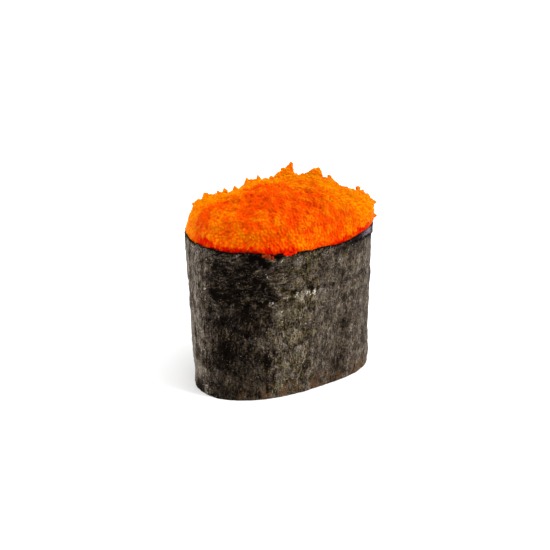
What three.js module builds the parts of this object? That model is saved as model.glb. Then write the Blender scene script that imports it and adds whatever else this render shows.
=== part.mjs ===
// Gunkan sushi: a block of pressed rice in an upright oval band of nori, heaped with fine fish roe.
// Millimetres, +Z up. X runs along the oval, Y across it. The origin is on the table, under the middle.

import * as THREE from "three";

// The band
const BAND_HEIGHT = 36;
const NORI_THICKNESS = 0.35;
const LAYER_GAP = 0.1;
const INNER_END_DEGREES = 75;
const OVERLAP_DEGREES = 45;
const RAMP_DEGREES = 40;
const CORNER_DROP = 0.6;
const CORNER_SHARE = 0.035;
const BAND_STEPS = 118;
const BAND_ROWS = 6;

// Waves of the band's upper edge: how many go round the oval, how high they are, and where they start.
const EDGE_WAVES = [
  { count: 3, height: 0.12, start: 1 },
  { count: 7, height: 0.08, start: 0 },
  { count: 13, height: 0.06, start: 2 },
];

// The oval at the table and at the band's upper edge. power is 2 for an ellipse and more for squarer
// ends; egg, twist and slant are small shares of the radius that make it as uneven as a hand leaves it.
const LOWER_OVAL = { length: 43.68, width: 25.1, power: 2.34, egg: 0.012, twist: 0, slant: 0.025 };
const UPPER_OVAL = { length: 44.16, width: 31.92, power: 2.21, egg: 0.017, twist: 0.041, slant: -0.008 };
const OVAL_MIDDLE = new THREE.Vector2(-0.33, 0.53);

// The filling
const PIECE_GAP = 0.3;
const RICE_HEIGHT = 25;
const RICE_EDGE_RADIUS = 1.2;
const RICE_DENTS = { depth: 0.15, around: 9, upwards: 0.9 };
const RICE_SEGMENTS = 64;
const RICE_EDGE_STEPS = 4;
const RICE_SIDE_ROWS = 5;
const ROE_EDGE_RADIUS = 0.6;
const ROE_SIDE_ROWS = 3;
const HEAP_HEIGHT = 11.2;
const HEAP_SHOULDER = 35.2;
const HEAP_BULGE = 0.022;
const BULGE_END = 0.9;
const DOME_ROUNDNESS = 0.75;
const DOME_FULLNESS = 0.8;
const HEAP_LEAN = new THREE.Vector2(1.5, 1.0);
const HEAP_SEGMENTS = 76;
const DOME_ROWS = 20;
const UNEVENNESS_EASE = { from: 0.1, to: 0.6 };

// The rings of the rice's flat faces and of the roe's underside, as shares of the room inside the band.
const RICE_UNDERSIDE_SHARES = [0, 0.5];
const RICE_TOP_SHARES = [0.95, 0.75, 0.5, 0.25, 0];
const ROE_UNDERSIDE_SHARES = [0, 0.35, 0.7, 0.96];

// Ripples of the heap: how fast each one's phase turns along x and along y. The first two are multiplied.
const RIPPLE = { x: 1.15, y: 0.4, height: 0.22 };
const CROSS_RIPPLE = { x: -0.3, y: 1.3 };
const FINE_RIPPLE = { x: 2, y: -1.7, height: 0.132 };

// Clumps and hollows of the heap: where they are, how far they rise or sink, and their half width.
const LUMPS = [
  { x: 7.4, y: 7.6, rise: 2.6, spread: 1.9 },
  { x: 12.9, y: 5.4, rise: 1.3, spread: 2.0 },
  { x: -13.6, y: 9.4, rise: 0.8, spread: 1.6 },
  { x: -17.6, y: 7.6, rise: 0.5, spread: 1.8 },
  { x: 20.2, y: -2.6, rise: 1.4, spread: 2.0 },
  { x: -9.2, y: 9.8, rise: -1.7, spread: 2.6 },
  { x: 18.2, y: 2.2, rise: -1.5, spread: 2.2 },
  { x: -6.0, y: -4.0, rise: 0.7, spread: 4.0 },
  { x: 4.0, y: -8.0, rise: 0.6, spread: 3.5 },
  { x: -13.0, y: -1.0, rise: -0.6, spread: 3.5 },
];

const NORI = new THREE.MeshStandardMaterial({ color: 0x2b2620, roughness: 0.55, metalness: 0 });
const RICE = new THREE.MeshStandardMaterial({ color: 0xefeae0, roughness: 0.45, metalness: 0 });
const ROE = new THREE.MeshStandardMaterial({ color: 0xf46503, roughness: 0.2, metalness: 0 });

const { degToRad, lerp, smoothstep, euclideanModulo } = THREE.MathUtils;
const FULL_TURN = 2 * Math.PI;
const INNER_END = degToRad(INNER_END_DEGREES);
const OVERLAP = degToRad(OVERLAP_DEGREES);
const RAMP = degToRad(RAMP_DEGREES);
const TUCK = NORI_THICKNESS + LAYER_GAP;
const TUCK_EASE = { from: degToRad(1), to: degToRad(12) };

function ovalRadius(oval, angle) {
  const lengthShare = Math.abs(Math.cos(angle) / (oval.length / 2)) ** oval.power;
  const widthShare = Math.abs(Math.sin(angle) / (oval.width / 2)) ** oval.power;
  const uneven =
    oval.egg * Math.cos(3 * angle) + oval.twist * Math.sin(3 * angle) + oval.slant * Math.sin(2 * angle);
  return (lengthShare + widthShare) ** (-1 / oval.power) * (1 + uneven);
}

// The band's outer face, which leans out from the lower oval to the upper one.
function bandRadius(angle, height) {
  return lerp(ovalRadius(LOWER_OVAL, angle), ovalRadius(UPPER_OVAL, angle), height / BAND_HEIGHT);
}

// An angle that moves in steps of about equal length along the oval when turn moves in equal steps.
function ovalAngle(turn) {
  const wholeTurns = Math.round(turn / FULL_TURN) * FULL_TURN;
  const slimness = UPPER_OVAL.width / UPPER_OVAL.length;
  const part = turn - wholeTurns;
  return Math.atan2(slimness * Math.sin(part), Math.cos(part)) + wholeTurns;
}

// How far the sheet is tucked in, a sheet's thickness under its own outer end and easing out after it.
function sheetTuck(sinceInnerEnd) {
  return TUCK * (1 - smoothstep(sinceInnerEnd, OVERLAP, OVERLAP + RAMP));
}

// The room inside the band, which narrows where two layers of the sheet lie on each other.
function fillingRadius(angle, height) {
  const sinceInnerEnd = euclideanModulo(angle - INNER_END, FULL_TURN);
  const untilInnerEnd = FULL_TURN - sinceInnerEnd;
  const tuckBefore = TUCK * (1 - smoothstep(untilInnerEnd, TUCK_EASE.from, TUCK_EASE.to));
  const tuck = Math.max(sheetTuck(sinceInnerEnd), tuckBefore);
  return bandRadius(angle, Math.min(height, BAND_HEIGHT)) - NORI_THICKNESS - tuck - PIECE_GAP;
}

// The sheet's upper edge rises and falls a little, and its outer corner hangs down.
function bandTop(angle, share) {
  let top = BAND_HEIGHT - CORNER_DROP * smoothstep(share, 1 - CORNER_SHARE, 1);
  for (const wave of EDGE_WAVES) top += wave.height * Math.sin(wave.count * angle + wave.start);
  return top;
}

// Moves each vertex of a geometry to where place puts it.
function reshape(geometry, place) {
  const vertices = geometry.getAttribute("position");
  const point = new THREE.Vector3();
  for (let i = 0; i < vertices.count; i++) {
    place(point.fromBufferAttribute(vertices, i));
    vertices.setXYZ(i, point.x + OVAL_MIDDLE.x, point.y + OVAL_MIDDLE.y, point.z);
  }
  geometry.computeVertexNormals();
  return geometry;
}

// The sheet: a flat strip of unit length and height, wound round the oval with its ends overlapping.
function noriWrap() {
  const strip = new THREE.BoxGeometry(1, NORI_THICKNESS, 1, BAND_STEPS, 1, BAND_ROWS);
  return reshape(strip, (point) => {
    const share = point.x + 0.5;
    const angle = INNER_END + share * (FULL_TURN + OVERLAP);
    const height = (point.z + 0.5) * bandTop(angle, share);
    const middle = bandRadius(angle, height) - NORI_THICKNESS / 2 - sheetTuck(angle - INNER_END);
    const radius = middle - point.y;
    point.set(radius * Math.cos(angle), radius * Math.sin(angle), height);
  });
}

// Points of a profile at one height.
function ring(shares, height) {
  return shares.map((share) => new THREE.Vector2(share, height));
}

// A closed solid that fills the band: profile holds shares of the room inside it against heights.
function filling(profile, segments, finish) {
  const turned = new THREE.LatheGeometry(profile, segments).rotateX(Math.PI / 2);
  return reshape(turned, (point) => {
    const share = Math.hypot(point.x, point.y);
    const angle = ovalAngle(Math.atan2(point.y, point.x));
    const radius = share * fillingRadius(angle, point.z);
    point.x = radius * Math.cos(angle);
    point.y = radius * Math.sin(angle);
    finish(point, share, angle);
  });
}

// The rice: flat where it stands, with a soft lower edge and shallow dents in its side.
function riceCore() {
  const edge = RICE_EDGE_RADIUS / (LOWER_OVAL.width / 2);
  const profile = ring(RICE_UNDERSIDE_SHARES, 0);
  for (let step = 0; step <= RICE_EDGE_STEPS; step++) {
    const turn = (step / RICE_EDGE_STEPS) * (Math.PI / 2);
    profile.push(
      new THREE.Vector2(1 - edge * (1 - Math.sin(turn)), RICE_EDGE_RADIUS * (1 - Math.cos(turn))),
    );
  }
  for (let row = 1; row <= RICE_SIDE_ROWS; row++) {
    const climbed = row / RICE_SIDE_ROWS;
    profile.push(new THREE.Vector2(1, lerp(RICE_EDGE_RADIUS, RICE_HEIGHT - RICE_EDGE_RADIUS, climbed)));
  }
  profile.push(...ring(RICE_TOP_SHARES, RICE_HEIGHT));
  return filling(profile, RICE_SEGMENTS, (point, share, angle) => {
    if (point.z < RICE_EDGE_RADIUS || share === 0) return;
    const across = Math.sin(RICE_DENTS.around * angle + point.z);
    const dent = RICE_DENTS.depth * (1 + across * Math.cos(RICE_DENTS.upwards * point.z + angle));
    point.x -= dent * Math.cos(angle);
    point.y -= dent * Math.sin(angle);
  });
}

// The heap's own unevenness at a place: its clumps and hollows, and the ripples between them.
function heapRise(x, y) {
  const wave = (ripple) => Math.sin(ripple.x * x + ripple.y * y);
  let rise = RIPPLE.height * wave(RIPPLE) * wave(CROSS_RIPPLE) + FINE_RIPPLE.height * wave(FINE_RIPPLE);
  for (const lump of LUMPS) {
    const distance = Math.hypot(x - lump.x, y - lump.y) / lump.spread;
    rise += lump.rise * Math.exp(-distance * distance);
  }
  return rise;
}

// The roe: it fills the band above the rice and stands over it as a leaning, lumpy dome.
function roeHeap() {
  const underside = RICE_HEIGHT + PIECE_GAP;
  const profile = ring(ROE_UNDERSIDE_SHARES, underside);
  for (let row = 0; row <= ROE_SIDE_ROWS; row++) {
    const height = lerp(underside + ROE_EDGE_RADIUS, HEAP_SHOULDER, row / ROE_SIDE_ROWS);
    profile.push(new THREE.Vector2(1, height));
  }
  for (let row = 1; row <= DOME_ROWS; row++) {
    const climb = (row / DOME_ROWS) * (Math.PI / 2);
    const bulge = HEAP_BULGE * Math.sin(Math.min(climb / BULGE_END, 1) * Math.PI);
    const share = row === DOME_ROWS ? 0 : Math.cos(climb) ** DOME_ROUNDNESS + bulge;
    const height = HEAP_SHOULDER + HEAP_HEIGHT * Math.sin(climb) ** DOME_FULLNESS;
    profile.push(new THREE.Vector2(share, height));
  }
  return filling(profile, HEAP_SEGMENTS, (point, share) => {
    if (point.z <= HEAP_SHOULDER) return;
    const climbed = (point.z - HEAP_SHOULDER) / HEAP_HEIGHT;
    const inward = 1 - Math.min(share, 1);
    point.x += HEAP_LEAN.x * inward;
    point.y += HEAP_LEAN.y * inward;
    point.z += heapRise(point.x, point.y) * smoothstep(climbed, UNEVENNESS_EASE.from, UNEVENNESS_EASE.to);
  });
}

function piece(name, geometry, material) {
  const mesh = new THREE.Mesh(geometry, material);
  mesh.name = name;
  return mesh;
}

const sushi = new THREE.Group();
sushi.add(
  piece("nori_wrap", noriWrap(), NORI),
  piece("rice_core", riceCore(), RICE),
  piece("roe_heap", roeHeap(), ROE),
);

export default sushi;
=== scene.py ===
"""Gunkan sushi: the finished surfaces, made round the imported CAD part.

The lengths below are in millimetres and become metres where a mesh, a light or the camera is made. X runs
along the sushi, Y across it, and Z is up. Angles round the oval start at +X and turn towards +Y.
"""

import functools
import itertools
import math

import bmesh
import bpy
import numpy as np
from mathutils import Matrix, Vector
from mathutils.kdtree import KDTree


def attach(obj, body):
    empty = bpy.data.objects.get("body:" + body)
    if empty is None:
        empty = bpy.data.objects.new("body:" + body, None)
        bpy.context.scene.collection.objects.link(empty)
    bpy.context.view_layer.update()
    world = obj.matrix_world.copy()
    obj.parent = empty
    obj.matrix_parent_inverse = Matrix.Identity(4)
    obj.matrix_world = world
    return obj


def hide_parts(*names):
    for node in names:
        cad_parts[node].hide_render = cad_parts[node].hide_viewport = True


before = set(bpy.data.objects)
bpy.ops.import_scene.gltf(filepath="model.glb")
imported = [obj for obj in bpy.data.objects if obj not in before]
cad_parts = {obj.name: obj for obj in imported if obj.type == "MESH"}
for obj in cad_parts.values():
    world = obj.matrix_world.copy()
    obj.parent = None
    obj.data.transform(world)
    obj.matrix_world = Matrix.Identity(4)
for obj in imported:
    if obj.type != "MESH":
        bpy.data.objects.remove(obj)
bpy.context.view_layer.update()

MM = 0.001

# The camera stands where the photograph was taken from.
CAMERA_AZIMUTH = -28.84
CAMERA_ELEVATION = 22
CAMERA_DISTANCE = 340
CAMERA_AIM = (-1.62, 1.24, 24.07)
CAMERA_SENSOR = 36
CAMERA_LENS = 96.6

# The band, as in the CAD part: the oval at the table and the oval at the rim.
BAND_HEIGHT = 36
LOWER_OVAL = {"length": 43.68, "width": 25.1, "power": 2.34, "egg": 0.012, "twist": 0, "slant": 0.025}
UPPER_OVAL = {"length": 44.16, "width": 31.92, "power": 2.21, "egg": 0.017, "twist": 0.041, "slant": -0.008}
OVAL_MIDDLE = (-0.33, 0.53)
EDGE_WAVES = ((3, 0.12, 1), (7, 0.08, 0), (13, 0.06, 2))
CORNER_DROP = 0.6
CORNER_SHARE = 0.035
INNER_END = math.radians(75)
OVERLAP = math.radians(45)
RAMP = math.radians(40)
TUCK_START = (0.02, 0.2)

# What is lower than the rim keeps a gap to the band, and gets this much room at this height over the rim.
FREE_ROOM = 2
FREE_HEIGHT = 1.2

# The nori sheet: its thickness, its grid, how far its upper edge is rounded and its outer end lifted, how
# deep the finish takes it to be, and the height of the rice behind it.
SHEET_THICKNESS = 0.26
SHEET_TUCK = 0.36
SHEET_COLUMNS = 440
OUTER_ROWS = 125
INNER_STEP = 4
EDGE_CROWN = 0.07
OUTER_END_LIFT = 0.3
SHEET_DEPTH = 3
RICE_LEVEL = 25

# The nori's relief: the grains behind it, its sway, its buckles over the rice, the upright creases at its
# ends, the crease over the rice, and the wrinkles and crinkles all over it.
GRAIN_RELIEF = 0.14
SWAY_RELIEF = 0.14
BUCKLE_RELIEF = 0.12
CREASE_RELIEF = 0.2
LEDGE_RELIEF = 0.26
LEDGE_WIDTH = 0.5
LEDGE_WAVE = 0.25
WRINKLE_RELIEF = 0.055
CRINKLE_RELIEF = 0.045

# How uneven the cut upper edge and the end of its fold are: the width, height and seed of each noise.
EDGE_NOISES = ((1.9, 0.13, 11), (0.62, 0.09, 12))
FOLD_NOISES = ((0.9, 0.2, 13), (0.4, 0.12, 14))

# Zones round the band in degrees: where each starts, is full, starts to fade and ends.
LEFT_END = (130, 160, 186, 194)
FRONT = (188, 197, 265, 290)
LYING_SIDE = (186, 194, 240, 262)
CALM_SIDE = (258, 285, 340, 360)
CALM_FOOT = (192, 200, 224, 236)
# Zones of the roe's painted shade, a deeper red low down by the rim.
RED_FRONT = (176, 186, 250, 258)
RED_SIDE = (274, 284, 324, 336)

# Spots round the band, each with its angle and half width in degrees: where the streaks, painted light and
# shade of the creases, are strong, the dark upper edge is thin, the roe's red painted shade reaches higher,
# and eggs hang over the rim.
STREAKY = (284, 24)
THIN_EDGE = (165, 18)
RED_CORNER = (184, 7)
HANGING = (246.5, 3.5)

# How light the nori is: its painted light on the side towards the key, its painted sheen at the left end and
# its painted shade low on the left; the painted highlight and shade along the crease over the rice; how much
# calmer its calm zones are, and the heights at which its calm foot and its rust end.
DARK_TONE = 0.2
TONE_WANDER = 7
RIGHT_TONE = 0.33
LEFT_END_TONE = 0.62
LOW_LEFT_SHADE = 0.05
LEDGE_LIGHT = 0.75
LEDGE_SHADE = 0.8
CALM_SIDE_SHARE = 0.3
CALM_FOOT_SHARE = 0.4
CALM_FOOT_TOP = (8, 18)
RUST_TOP = (2, 4.5)

# Where the band has painted light on the side towards the key, where the crease over the rice shows its
# painted highlight and shade, and where the foot is rusty: at some angles in degrees, from 0 to 1.
LIGHT_SIDE = (
    (0, 1), (60, 0.7), (150, 0.6), (178, 0), (221, 0), (225, 0.15), (232, 0.85), (237, 1),
    (360, 1),
)
CREASE_CLEAR = (
    (0, 0.3), (150, 0.3), (178, 0), (186, 0), (200, 1), (275, 1), (292, 0.3), (360, 0.3),
)
RUST_SIDE = ((0, 1), (130, 1), (165, 0), (203, 0), (214, 1), (360, 1))

# The crease over the rice: its height at some angles in degrees.
LEDGE = (
    (0, 25), (180, 24.8), (201, 24.5), (212, 23.8), (227, 23.5), (236, 24.5), (245, 25.7),
    (258, 26.1), (272, 26.2), (290, 25.4), (360, 25),
)
NICK_ANGLE = math.radians(236)
NICK_DEPTH = 0.55
NICK_WIDTH = 0.03

# Wet dark stains, pale specks that are painted glints, and patches that are lighter or darker than the rest:
# each one's angle in degrees and height, its half width in degrees and half height, and how much lighter a
# patch is. A glint has only its half height, and its half width in degrees is that times the stretch below.
STAINS = (
    (223, 34.8, 5.5, 1.2),
    (229, 33.8, 5.5, 1.3),
    (238, 35.4, 5, 0.7),
)
SPECKS = (
    (253.6, 25.9, 0.45), (257, 24.3, 0.35), (269.5, 25.4, 0.7), (265, 25.2, 0.4),
    (262, 25.6, 0.4), (241, 34.2, 0.35), (231, 30.6, 0.45), (241, 21.8, 0.35),
    (234, 24.2, 0.55), (246, 25.3, 0.4), (189.5, 2.4, 0.4), (188.5, 26, 0.4),
)
SPECK_STRETCH = 3.2
NORI_PATCHES = (
    (222, 2, 12, 3, 0.15),
    (304, 2.5, 6, 4, -0.15),
    (235, 13.2, 3.5, 2.2, -0.5),
    (235, 28, 4, 2.5, -0.25),
    (195.5, 5.5, 4, 3, 0.32),
    (186, 29, 2.5, 3, -0.2),
    (314, 31, 6, 3.5, 0.2),
    (252, 30.6, 4, 2, 0.17),
    (203.5, 33.2, 6, 1.8, -0.15),
    (203.5, 27.6, 3, 1.4, 0.15),
    (200, 26, 5, 1.8, -0.3),
    (210, 25.5, 5, 1.4, -0.4),
    (226, 7.4, 2.5, 1.6, -0.3),
    (226, 10.6, 1.5, 1.2, 0.3),
    (203, 11.5, 6, 2.5, -0.3),
    (219, 20, 5, 3, -0.3),
    (231, 25.6, 3, 1.5, -0.25),
    (222, 29, 5, 3.5, -0.3),
    (229.5, 8, 1.3, 6.5, -0.6),
    (305, 6, 24, 6, 0.08),
    (312, 8.5, 6, 2.5, -0.15),
    (250.5, 12.8, 6, 2.2, 0.17),
    (345, 20, 16, 30, 0.12),
    (237, 14, 6, 8, 0.12),
    (244, 8, 8, 9, 0.06),
    (226, 20.5, 5, 2.5, 0.2),
    (262, 31, 14, 3, -0.1),
    (272, 20, 10, 3.5, 0.15),
    (228, 24.2, 4, 1, -0.3),
    (292, 34.2, 7, 1, -0.4),
    (181, 0.8, 5, 1.1, -0.8),
    (328, 35.6, 9, 1.8, 0.1),
    (310, 35.6, 9, 1.8, -0.42),
    (341, 35.6, 6.5, 1.8, -1),
    (306, 18, 8, 40, -0.12),
)

# Near one end the sheet's upper edge is folded over outwards: the fold's zone, how much wider it gets with
# each degree, how far it stands out, and its colours, a dark one and a lilac grey that is a painted sheen.
FOLD = (296, 298, 340, 351)
FOLD_GROWTH = 0.052
FOLD_LIFT = 0.3
FOLD_COLOURS = ((0.008, 0.005, 0.006), (0.15, 0.115, 0.135))

# The nori's colours from its darkest parts to its lightest, of the matted ground and of the fibres on it, and
# how light each of them is.
GROUND_STEPS = (0, 0.25, 0.5, 0.75, 1)
FIBRE_STEPS = (0, 0.35, 0.7, 1)
GROUND_BROWNS = (
    (0.0008, 0.0003, 0.0001),
    (0.0028, 0.0014, 0.0006),
    (0.0125, 0.0079, 0.0036),
    (0.031, 0.0208, 0.011),
    (0.056, 0.0405, 0.024),
)
# Purple greys of the ground: partly the nori's own tint and partly a painted sheen.
GROUND_PURPLES = (
    (0.0011, 0.0005, 0.0008),
    (0.0045, 0.0026, 0.0031),
    (0.0165, 0.0118, 0.0118),
    (0.0345, 0.0268, 0.025),
    (0.058, 0.0465, 0.043),
)
GROUND_GREENS = (
    (0.0005, 0.0006, 0.0004),
    (0.002, 0.0023, 0.0016),
    (0.0105, 0.0105, 0.0075),
    (0.0265, 0.0262, 0.02),
    (0.048, 0.0475, 0.039),
)
RUST = (0.085, 0.044, 0.02)
FIBRES = (
    (0.0065, 0.0042, 0.0022),
    (0.052, 0.038, 0.025),
    (0.118, 0.093, 0.066),
    (0.23, 0.195, 0.155),
)
OLIVE_FIBRES = (
    (0.0065, 0.0042, 0.0013),
    (0.05, 0.037, 0.0135),
    (0.118, 0.09, 0.042),
    (0.23, 0.19, 0.115),
)
# The colour of the painted glints.
SPECK = (0.52, 0.48, 0.42)
# The colour of the stains and of the dark upper edge, which is partly the cut edge and partly a painted
# shadow of the roe and of the fold.
STAIN = (0.002, 0.0012, 0.001)

# The blots on the nori, upright and lying down: their turn in degrees and their scale across and along it.
BLOT_LAYS = ((4, 2.3, 0.5), (80, 1.7, 0.55))
# What clouds, blots, grain and the upright streaks, a painted light and shade of the creases at the ends, add
# to its lightness, and grain to its dark upper edge.
LEVEL_WEIGHTS = (1.7, 2.1, 1.5, 3.4)
EDGE_RAGGEDNESS = 2.6

# The heap of roe: the size of its eggs, the dome's form, and the fine grid that loose eggs are placed by
EGG_RADIUS = 0.36
HEAP_SHOULDER = 34.6
HEAP_HEIGHT = 11.25
HEAP_INSET = 0.45
HEAP_BULGE = 0.018
SIDE_BULGE = 0.1
SIDE_ANGLE = math.radians(331)
SIDE_WIDTH = math.radians(24)
HEAP_LEAN = (1.5, 1)
DOME_ROUNDNESS = 0.75
DOME_FULLNESS = 0.8
DOME_REACH = 19
DOME_TOP = 0.995
HEAP_HEART = (1, 1, 12)
DOME_COLUMNS = 1081
DOME_ROWS = 270
ROE_GAP = 0.04

# Ripples of the heap: the width, height, first value and seed of each noise.
HEAP_RIPPLES = ((2.6, 0.35, 40, 41), (1.3, 0.3, 40, 42), (0.75, 0.14, 60, 43))

# Below the heap, the roe's side: some heights and how far it is from the band there, down to the rice.
CORE_RINGS = ((34, 0.05), (32, 0.15), (28, 0.6), (RICE_LEVEL + 0.3, 0.7))

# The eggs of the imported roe, in relief: how far apart they are and the share of its radius that an egg's
# middle lies under the heap's surface, in two layers; their radii, and how deep the gaps between them go.
RELIEF_CELLS = 298
RELIEF_LAYERS = ((0.64, (0.48, 0.68)), (0.5, (0.72, 0.92)))
RELIEF_RADII = (0.4, 0.49)
RELIEF_FLOOR = -0.04
RELIEF_STARTS = 50000
CLUMP_RELIEF = 0.16
# How much the clumps' crests are painted lighter and their hollows deeper: painted light and shade that
# follow the relief.
CLUMP_SHADE = 0.38
# How far each egg's own shade strays, at random.
EGG_SHADE = 0.14

# The loose eggs: how far apart they are, how deep they sit, how high a noise has to be for them to lie there,
# how steep a wall they cover, and the many small tips that they form.
LOOSE_SPACING = 0.47
TIP_SPACING = 0.3
LOOSE_STARTS = 60000
LOOSE_SINK = -0.08
LOOSE_LEVEL = 0.95
WALL_STEP = 0.2
WALL_SLOPE = 1.5
SMALL_TIPS = 70
SMALL_TIP_LEVEL = 41.5
SMALL_TIP_START = 5
SMALL_TIP_HEIGHTS = (0.25, 0.7)
SMALL_TIP_REACHES = (0.35, 0.8)

# The roe's finishes: each one's deep colour, its light colour and how see-through it is.
ROE_FINISHES = {
    "packed": ((0.52, 0.05, 0), (0.6, 0.185, 0), 1),
    "light": ((0.6, 0.056, 0), (0.68, 0.185, 0), 0),
    "deep": ((0.58, 0.048, 0), (0.66, 0.155, 0), 0),
    "stained": ((0.12, 0.012, 0.002), (0.26, 0.05, 0.01), 0),
}
# A deep red, for the roe's red flecks and for its painted shade low down by the band's rim.
ROE_RED = (0.5, 0.004, 0)
# A red glow painted into the gaps between the eggs and on the sunk sides of the loose eggs: painted shade
# with painted light bounced into it.
ROE_GLOW = (0.75, 0.045, 0)

# How light the roe is in the middle, and how much painted light makes it lighter on its far side, a zone of
# y, and towards its right end, between two values of x.
MIDDLE_SHADE = 0.17
FAR_SHADE = 1.03
FAR_SIDE = (0, 8, 11, 13)
RIGHT_SHADE = 0.38
RIGHT_SIDE = (2, 12)

# How bright the roe is, how much painted light and painted shade change that to even out its lighting, and
# between which values of x and which heights they do.
ROE_BRIGHTNESS = 0.97
LOW_LEFT_GLOW = 0.22
RIGHT_DIMMING = 0.16
LOW_RIGHT_DIMMING = 0.18
TOP_DIMMING = 0.1
TIP_DIMMING = 0.22
CRAG_GLOW = 0.25
CREST_GLOW = 0.25
BRIGHT_SIDE = (-6, 10)
LEFT_TIP = (-21.8, -20)
LOW_ROE = (36.5, 40.5)
TOP_ROE = (42, 46)
# The heights over which the roe's painted shade by the rim fades.
RED_TOP = (36.6, 37.4)

# Lighter and deeper patches of the roe: x, y, half width, and how much lighter.
ROE_PATCHES = (
    (-6.5, -6, 3.8, -0.36),
    (-4, -10.6, 2.6, -0.3),
    (-16.8, -6.5, 2.5, 0.15),
    (-13.5, -5.5, 2, -0.2),
    (-18.5, -3, 3, 0.3),
    (-2.5, -13.6, 3, 0.15),
    (14, -3, 5, 0.2),
    (9.6, -11.4, 3.2, 0.15),
    (8.5, -4.5, 3.6, 0.35),
    (2.5, -2, 2.6, 0.15),
    (4, -7, 1.6, -0.25),
    (11.4, -12.8, 2.2, -0.5),
    (4, -15, 2, -0.3),
    (-15, 2.2, 2.6, -0.5),
)

# Clumps and hollows of the heap: x, y, how far it rises or sinks, and its half width.
LUMPS = (
    (9, 7.4, -0.3, 1.3),
    (-13.2, 9.2, -0.9, 1.6),
    (-17.6, 8.2, 0.8, 1.6),
    (-18.6, 9.4, 0.3, 1.2),
    (-10.2, 6.6, -0.6, 1.8),
    (17, -0.4, -0.5, 1.6),
    (-9.2, 9.8, -1.8, 2.4),
    (-9, 7, -0.75, 3.2),
    (-6.8, 8.6, -1.4, 1.6),
    (0.6, 9.6, -0.6, 2),
    (15.8, 2.6, -1.2, 1.3),
    (-7.3, 7.8, -0.9, 1.2),
    (-7, 11.8, -1.2, 2.6),
    (18.6, 6.2, -1, 2),
    (19.8, -3.6, 0.3, 1.4),
    (16.5, 0, -0.9, 2.4),
    (17.4, 3, -1.3, 2),
    (-6, -4, 0.7, 4),
    (4, -8, 0.6, 3.5),
    (-13, -1, -0.6, 3.5),
)

# Crags along the heap's far side: x, y, height, and how far each reaches before its crest, behind it and
# to the sides. They all point the same way.
HEADING_X = math.cos(math.radians(-29))
HEADING_Y = math.sin(math.radians(-29))
CRAGS = (
    (6.8, 8.6, 2.8, 4.8, 0.4, 2.4),
    (12.6, 5.3, 1.9, 4.4, 0.4, 1.9),
    (15.2, 3.2, 0.7, 2.2, 0.4, 1.2),
    (18.7, -1.8, 0.8, 0.6, 0.6, 0.9),
    (-15.3, 9.7, 1.9, 0.5, 2.4, 1.2),
    (-17.4, 9.9, 0.8, 0.4, 1.2, 1),
    (-11.3, 7.2, 0.6, 1, 0.8, 0.9),
    (-8.8, 6.4, 0.7, 1, 0.8, 0.9),
    (-4.8, 9.4, 0.9, 0.4, 3.6, 1.6),
    (-1, 9.8, 0.5, 1.6, 0.8, 1.2),
)

# Teeth of eggs that stand in a row along the heap's crest: x, y and height.
TEETH = (
    (-17.8, 9.75, 0.6),
    (-13.8, 9.1, 0.5),
    (-12.2, 7.9, 0.6),
    (-11.2, 7.1, 0.85),
    (-9, 6.4, 0.85),
    (-6, 8.6, 0.6),
    (-4.2, 9.8, 0.8),
    (-1.3, 9.7, 0.9),
    (0.3, 9.5, 0.5),
    (1.9, 9.2, 0.4),
    (5.05, 9.57, 0.45),
    (6.7, 8.65, 0.3),
    (9.1, 7.3, 0.5),
    (11.3, 6.05, 0.45),
    (12.3, 5.6, 0.25),
    (13.3, 4.6, 0.4),
    (14.2, 3.9, 0.65),
    (15.5, 2.9, 0.9),
    (16.5, 0.6, 0.5),
    (17.1, -1, 0.5),
    (18.5, -1.75, 0.6),
    (19.2, -2.5, 0.35),
    (20, -3.5, 0.7),
)
TOOTH_REACHES = (0.35, 0.55)
TOOTH_RISE = 0.8
TOOTH_TILT = 0.15
TOOTH_SINK = 0.12
CONE_CROWD = 90
CONE_LEAST = 8

# Cones of eggs that stick out of the heap's side: where each starts, its direction, its length and the
# radius of its foot.
SPIKES = (
    ((19.7, -3.8, 39.7), (0.86, -0.47, 0.05), 2.2, 1.2),
    ((20, -4.1, 36.6), (0.86, -0.5, 0), 1.9, 1.1),
)

# The rice: its grains, how far apart they are and at what heights, and their gaps to the band
RICE_GRAIN = (2.7, 1.35, 1.2)
RICE_SPACING = 2.3
RICE_LAYERS = (1.15, 2.9)
RICE_INSET = 1
RICE_GAP = 0.12
RICE_REACH = (22, 14)
RICE_STARTS = 9000
GRAIN_BEND = 0.18
RICE_COLUMNS = 96
RICE_COLOURS = ((0.72, 0.68, 0.6), (0.88, 0.86, 0.8))

# The plain core behind the grains: some heights and how far it is from the band there, from the top down.
RICE_RINGS = (
    (RICE_LEVEL, 1.4),
    (RICE_LEVEL - 0.8, 0.4),
    (18, 0.3),
    (12, 0.3),
    (6, 0.3),
    (1.6, RICE_INSET),
    (0.9, 2),
)

# The studio: the floor, and each light's name, camera azimuth, elevation, distance and size in metres, and
# power.
FLOOR_REACH = 4
FLOOR_COLOURS = ((0.93, 0.93, 0.93), (0.95, 0.95, 0.95))
WORLD_LIGHT = 0.35
SOFTBOXES = (
    ("key", 45, 38, 0.7, 0.3, 6),
    ("overhead", 0, 88, 0.8, 0.5, 4.5),
    ("behind", -131, 18, 0.7, 0.35, 4),
)


# ---------------------------------------------------------------- numbers and shapes


def smoothstep(value, low, high):
    share = np.clip((value - low) / (high - low), 0, 1)
    return share * share * (3 - 2 * share)


def fading(value, low, high):
    """1 up to the low value and 0 from the high one."""
    return 1 - smoothstep(value, low, high)


def window(value, zone):
    """1 inside a zone and 0 outside it. A zone says where it starts, is full, starts to fade and ends."""
    start, full, fade, end = zone
    return smoothstep(value, start, full) * fading(value, fade, end)


def peak(offset, width):
    """A smooth peak of height 1, with a half width."""
    return np.exp(-((offset / width) ** 2))


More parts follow.
